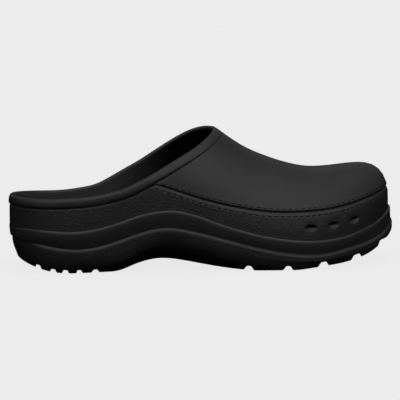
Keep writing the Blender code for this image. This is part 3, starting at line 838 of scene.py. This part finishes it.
# The whole grid: two loops under the foot, the outside, the rim, and down the inside. The inside has fewer
# rows than the outside, but all those of the lower wall, which the vents need.
FOOT_OUT = np.array([0.3, 0.12])  # how far out the two loops under the foot stand
FOOT_DOWN = np.array([0.8, 0.4])  # and how far down
INSIDE_DOWN = 0.6  # how far down the inside ends
RIM_INNER = 19  # loop of the rim where the inside begins
last = len(outside) - 1
foot_rows = dressed[0] + normal[0] * FOOT_OUT[:, None, None]
foot_rows[..., 2] -= FOOT_DOWN[:, None]
vamp_inside = np.r_[last, last - 2, np.arange(last - 6, 50, -3), 47, 41, 35, 28, 24]
inside_rows = inside[np.r_[vamp_inside, np.arange(WALL_ROWS)[::-1]]]
upper_points = np.concatenate([foot_rows, dressed, rim_rows, inside_rows, inside[:1] - (0, 0, INSIDE_DOWN)])
rows = len(upper_points)
upper_cells = cells(np.arange(rows * UPPER_COLUMNS).reshape(rows, UPPER_COLUMNS), wrap=True)

# Vents: a scoop in the wall that slopes in from its lower lip to a slot under its upper lip. Each is a set of
# rings from the edge of a window left in the grid of the outside to the same window in the inside.
# Of each vent: station, height above the upper bright line, and half its length.
VENTS = ((211.3, 9.6, 4.1), (228.8, 10.2, 4.1), (246.6, 9.8, 4.4))
VENT_TALL = 2.3  # half the height
WINDOW_LONG = 7.4  # half the length of the window
WINDOW_TALL = 4.9  # half its height
# Of each ring: share of the length, share of the height, how far up its middle lies, and its depth.
SCOOP = (
    (1.28, 1.36, 0.0, 0.0),
    (1.10, 1.13, 0.0, 0.02),
    (1.03, 1.04, 0.0, 0.15),
    (0.99, 0.97, 0.05, 0.4),
    (0.95, 0.84, 0.3, 0.8),
    (0.90, 0.68, 0.68, 1.25),
    (0.85, 0.48, 1.1, 1.7),
    (0.81, 0.37, 1.38, 2.3),
    (0.80, 0.37, 1.38, WALL - 0.1),
    (1.05, 0.9, 0.5, WALL),
)
long_share, tall_share, lift, deep = np.array(SCOOP).T[:, :, None]
columns_per_radian = UPPER_COLUMNS / (2 * np.pi)
# Rows of the whole grid for each row of the wall, outside and inside.
row_of_outside = len(foot_rows) + np.arange(WALL_ROWS)
row_of_inside = rows - 2 - np.arange(WALL_ROWS)
kept = np.ones(upper_cells.shape[:2], dtype=bool)
extra_points, extra_cells = [], []
count = rows * UPPER_COLUMNS
for side in (1.0, -1.0):
    for vent_station, vent_above, vent_long in VENTS:
        turn = angle_of(vent_station)
        turn = turn if side > 0 else 2 * np.pi - turn
        beside = turn + np.array([-TURN_STEP, TURN_STEP])
        back, front = at_height(beside, line_height(beside) + vent_above)
        pace = np.linalg.norm(front - back) / (2 * TURN_STEP)
        column = turn * columns_per_radian
        reach = WINDOW_LONG / pace * columns_per_radian
        left, centre, right = (int(round(column + step)) for step in (-reach, 0.0, reach))
        level = line_height(turn) + vent_above
        stack = outside[:WALL_ROWS, centre, 2]
        bottom = np.searchsorted(stack, level - WINDOW_TALL) - 1
        top = np.searchsorted(stack, level + WINDOW_TALL)
        kept[row_of_outside[bottom]:row_of_outside[top], left:right] = False
        kept[row_of_inside[top]:row_of_inside[bottom], left:right] = False
        # The window's edge, once round from its lower left corner.
        across, upward = np.arange(left, right), np.arange(bottom, top)
        edge_row = np.r_[0 * across + bottom, upward, 0 * across + top, upward[::-1] + 1]
        edge_column = np.r_[across, 0 * upward + right, across[::-1] + 1, 0 * upward + left]
        edge_turn = UPPER_TURN[edge_column]
        edge_up = outside[edge_row, edge_column, 2] - line_height(edge_turn) - vent_above
        bearing = np.arctan2(edge_up / VENT_TALL, (edge_turn - turn) * pace / vent_long)
        ring_turn = turn + vent_long * long_share * np.cos(bearing) / pace
        ring_up = VENT_TALL * tall_share * np.sin(bearing) + lift
        rings = at_height(ring_turn, line_height(ring_turn) + vent_above + ring_up)
        rings = rings - normal[(bottom + top) // 2, centre] * deep[..., None]
        numbers = count + np.arange(rings[..., 0].size).reshape(rings.shape[:2])
        count += numbers.size
        outer_edge = row_of_outside[edge_row] * UPPER_COLUMNS + edge_column
        inner_edge = row_of_inside[edge_row] * UPPER_COLUMNS + edge_column
        extra_points.append(rings.reshape(-1, 3))
        extra_cells.append(cells(np.vstack([outer_edge, numbers, inner_edge])).reshape(-1, 4))
upper_faces = np.concatenate([upper_cells[kept], *extra_cells])
upper_all = np.concatenate([upper_points.reshape(-1, 3), *extra_points])

# The wall is grained from the lower stitches down, and the inside is painted darker further in, as painted
# shade.
GRAIN_STARTS = (-3.6, -4.4)  # distances above the seam over which the grain sets in
DEEP_STATIONS = (78.0, 124.0)  # stations over which the inside's painted shade deepens
FOAM_DARK = (0.018, 0.018, 0.0184)
FOAM_LIGHT = (0.030, 0.030, 0.0306)
INSIDE_PAINTED_LIGHT = (0.058, 0.058, 0.0588)
INSIDE_PAINTED_SHADE = (0.0008, 0.0008, 0.0008)
vent_points = len(upper_all) - rows * UPPER_COLUMNS
grain_share = np.zeros((rows, UPPER_COLUMNS))
grain_share[len(foot_rows):len(foot_rows) + len(outside)] = way(from_seam, *GRAIN_STARTS)
grain_share = np.concatenate([grain_share.ravel(), np.zeros(vent_points)])
# The share "deep" is painted shade, from nothing at the heel to one under the vamp.
inside_shade_share = way(upper_points[..., 0], *DEEP_STATIONS)
inside_shade_share = np.concatenate([inside_shade_share.ravel(), np.ones(vent_points)])
first_inner = len(foot_rows) + len(outside) + RIM_INNER
in_inside = (upper_faces >= first_inner * UPPER_COLUMNS) & (upper_faces < rows * UPPER_COLUMNS)
inner_faces = in_inside.all(axis=1)

foam, shader, place = material_of("moulded_foam", 0.5)
grained = place.attribute("grain")
pores = place.pebbles(1.1) + place.noise(0.8, 3.0)
fine_skin = place.noise(0.8, 2.0)
tone = (place.noise(22, 3.0) - 0.2 * grained).blend(FOAM_DARK, FOAM_LIGHT)
roughness = 0.32 + 0.08 * grained + 0.06 * place.noise(7.0)
dress(shader, place, tone, roughness, pores * grained + 0.15 * fine_skin, 0.15)
upper = make_piece("upper_shell", upper_all, upper_faces, foam, grain=grain_share, deep=inside_shade_share)

# The foam's own unpolished skin inside, grey at the heel as painted light, dark under the vamp as painted
# shade.
lining, shader, place = material_of("inside_foam_painted_shade", 0.1)
inside_shading = place.attribute("deep") + 0.16 * (place.noise(16, 3.0) - 0.5)
# Painted light at the heel and painted shade under the vamp, by the share "deep".
tone = inside_shading.blend(INSIDE_PAINTED_LIGHT, INSIDE_PAINTED_SHADE)
dress(shader, place, tone, 0.85 + 0.1 * place.noise(6.0), place.noise(0.8, 2.0), 0.05)
upper.data.materials.append(lining)
upper.data.polygons.foreach_set("material_index", inner_faces.astype(np.int32))
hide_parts("upper")

# Stitches. Two rows of thick black thread along the seam, one in the vamp and one in the wall, each stitch
# pulled down into its channel at both ends.
STITCH_ROWS = ((2.1, 0.5), (-3.9, 0.6))  # distance of each row above the seam, and width of its thread
STITCH_PITCH = 4.6
STITCH_LONG = 3.6
STITCH_TALL = 0.24  # half the height of the thread
STITCH_UP = 0.05  # height of its middle
STITCH_DIP = 0.45  # how far its ends are pulled down
STITCH_LOOPS = 9
STITCH_SIDES = 8
RIM_CLEAR = 0.9  # nearest that a row comes to the rim's foot
SEWN_FROM = 80.0  # station where the rows may start
# The thread is darker than the foam: partly black thread, partly painted shade for the shadow in its channel.
THREAD_DARK = (0.004, 0.004, 0.0042)
THREAD_LIGHT = (0.007, 0.007, 0.0073)
circle = np.linspace(0, 2 * np.pi, STITCH_SIDES, endpoint=False)
around, lengthwise = np.meshgrid(circle, np.linspace(-1, 1, STITCH_LOOPS))
slim = np.sqrt(np.maximum(1 - lengthwise ** 4, 0.0))
form_up = np.sin(around) * slim * STITCH_TALL - STITCH_DIP * lengthwise ** 4 + STITCH_UP
form = np.stack([lengthwise * STITCH_LONG / 2, np.cos(around) * slim / 2, form_up], axis=-1)
stitch_points = []
for distance, wide in STITCH_ROWS:
    sewn_run = np.minimum(seam_run + seam_over + distance, rim_run)[None]
    sewn = np.flatnonzero((rim_run - sewn_run[0] > RIM_CLEAR) & (upper_station > SEWN_FROM))
    line = spread(fine, fine_run, sewn_run)[0, sewn]
    line_normal = spread(normal, wanted, sewn_run)[0, sewn]
    run = run_along(line)
    at = np.arange(STITCH_PITCH, run[-1] - STITCH_PITCH, STITCH_PITCH)
    ahead = unit(along_line(at + 1, run, line) - along_line(at - 1, run, line))
    up = along_line(at, run, line_normal)
    up = unit(up - ahead * (up * ahead).sum(axis=1, keepdims=True))
    axes = np.stack([ahead, np.cross(up, ahead), up], axis=1)
    turned = np.einsum("ijk,skl->sijl", form * (1, wide, 1), axes)
    stitch_points.append(along_line(at, run, line)[:, None, None] + turned)
stitch_points = np.concatenate(stitch_points)
stitch_index = np.arange(stitch_points[..., 0].size).reshape(stitch_points.shape[:3])
stitch_faces = np.concatenate([cells(grid).reshape(-1, 4) for grid in stitch_index])

thread, shader, place = material_of("waxed_thread", 0.15)
tone = place.noise(3.0).blend(THREAD_DARK, THREAD_LIGHT)
dress(shader, place, tone, 0.7 + 0.1 * place.noise(2.0), place.noise(0.35), 0.05)
stitches = make_piece("seam_stitches", stitch_points, stitch_faces, thread)

# Studio. A pale floor and a pale room that only the camera sees. The light is a sky that is brightest
# overhead and in front, on the outer side of the shoe, and dimmer behind it and towards heel and toe.
PAPER = 0.847  # glow of the room
FLOOR_DIMMER = 0.05  # how much less the floor glows
FLOOR_SHADE = 0.09  # share of the sky's light that the floor gives back
FLOOR_RADIUS = 6.0  # in metres, like all sizes of the studio
FLOOR_DROP = 0.0002
ROOM_RADIUS = 7.0
ROOM_POLE = 0.002  # angle left open at the room's two poles
ROOM_LOOPS = 24
ROOM_SIDES = 64


def stage_piece(name, points, faces, glow, shade):
    """A piece of the studio that gives off an even glow and takes a little light."""
    mesh = bpy.data.meshes.new(name)
    mesh.from_pydata(points.tolist(), [], faces.tolist())
    material = bpy.data.materials.new(name)
    material.use_nodes = True
    inputs = material.node_tree.nodes["Principled BSDF"].inputs
    inputs["Base Color"].default_value = (shade, shade, shade, 1.0)
    inputs["Roughness"].default_value = 1.0
    inputs["Specular IOR Level"].default_value = 0.0
    inputs["Emission Color"].default_value = (1.0, 1.0, 1.0, 1.0)
    inputs["Emission Strength"].default_value = glow
    mesh.materials.append(material)
    piece = bpy.data.objects.new(name, mesh)
    bpy.context.scene.collection.objects.link(piece)
    piece.visible_diffuse = False
    piece.visible_glossy = False
    return piece


turn = np.linspace(0, 2 * np.pi, ROOM_SIDES, endpoint=False)
disc = np.column_stack([np.cos(turn), np.sin(turn), 0 * turn]) * FLOOR_RADIUS - (0, 0, FLOOR_DROP)
stage_piece("floor", disc, np.arange(ROOM_SIDES)[None], PAPER - FLOOR_DIMMER, FLOOR_SHADE)
tilt = np.linspace(ROOM_POLE, np.pi - ROOM_POLE, ROOM_LOOPS)[:, None]
room = np.stack([np.sin(tilt) * np.cos(turn), np.sin(tilt) * np.sin(turn), np.cos(tilt) + 0 * turn], axis=-1)
room_faces = cells(np.arange(ROOM_LOOPS * ROOM_SIDES).reshape(ROOM_LOOPS, ROOM_SIDES)).reshape(-1, 4)
room_piece = stage_piece("room", room.reshape(-1, 3) * ROOM_RADIUS, room_faces, PAPER, 0.0)
room_piece.visible_shadow = False


def brightness(value, start, end, low, high):
    """A brightness from low to high as a value goes from a start to an end, eased at both ends."""
    inputs = {"Value": value, "From Min": start, "From Max": end, "To Min": low, "To Max": high}
    return value.node("ShaderNodeMapRange", {"interpolation_type": "SMOOTHSTEP"}, inputs)


world = bpy.data.worlds.new("studio")
world.use_nodes = True
tree = world.node_tree
aside, behind, overhead = Shade(tree, tree.nodes.new("ShaderNodeTexCoord").outputs["Generated"]).axes()
sky = brightness(overhead, 0.03, 0.34, 0.0, 0.8) * brightness(behind, -0.7, 0.9, 1.15, 0.2)
sky = sky * brightness(aside.math("ABSOLUTE", aside, 0.0), 0.2, 0.95, 1.0, 0.38)
tree.links.new(sky.socket, tree.nodes["Background"].inputs["Strength"])
tree.nodes["Background"].inputs["Color"].default_value = (1.0, 1.0, 1.0, 1.0)
bpy.context.scene.world = world
bpy.context.scene.view_settings.view_transform = "Standard"

# Camera. It looks at the outer side from a little behind and a little above, from far enough off for a long
# lens, as in the photograph.
AIM = np.array([-0.00265, 0.00085, 0.0468])  # middle of the picture, in metres
DISTANCE = 1.5
VIEW_WIDE = 0.291  # width that the picture takes in at that distance
SENSOR_WIDE = 36.0  # width of the camera's sensor, in millimetres
azimuth, elevation, roll = np.radians((-10.0, 6.5, -0.3))
right = np.array([np.cos(azimuth), np.sin(azimuth), 0.0])
level_back = np.array([np.sin(azimuth), -np.cos(azimuth), 0.0])
back = level_back * np.cos(elevation) + np.array([0.0, 0.0, np.sin(elevation)])
up = np.cross(back, right)
right, up = right * np.cos(roll) + up * np.sin(roll), up * np.cos(roll) - right * np.sin(roll)
pose = np.eye(4)
pose[:3] = np.column_stack([right, up, back, AIM + back * DISTANCE])
camera_data = bpy.data.cameras.new("camera")
camera_data.lens = SENSOR_WIDE * DISTANCE / VIEW_WIDE
camera = bpy.data.objects.new("camera", camera_data)
camera.matrix_world = Matrix(pose.tolist())
bpy.context.scene.collection.objects.link(camera)
bpy.context.scene.camera = camera
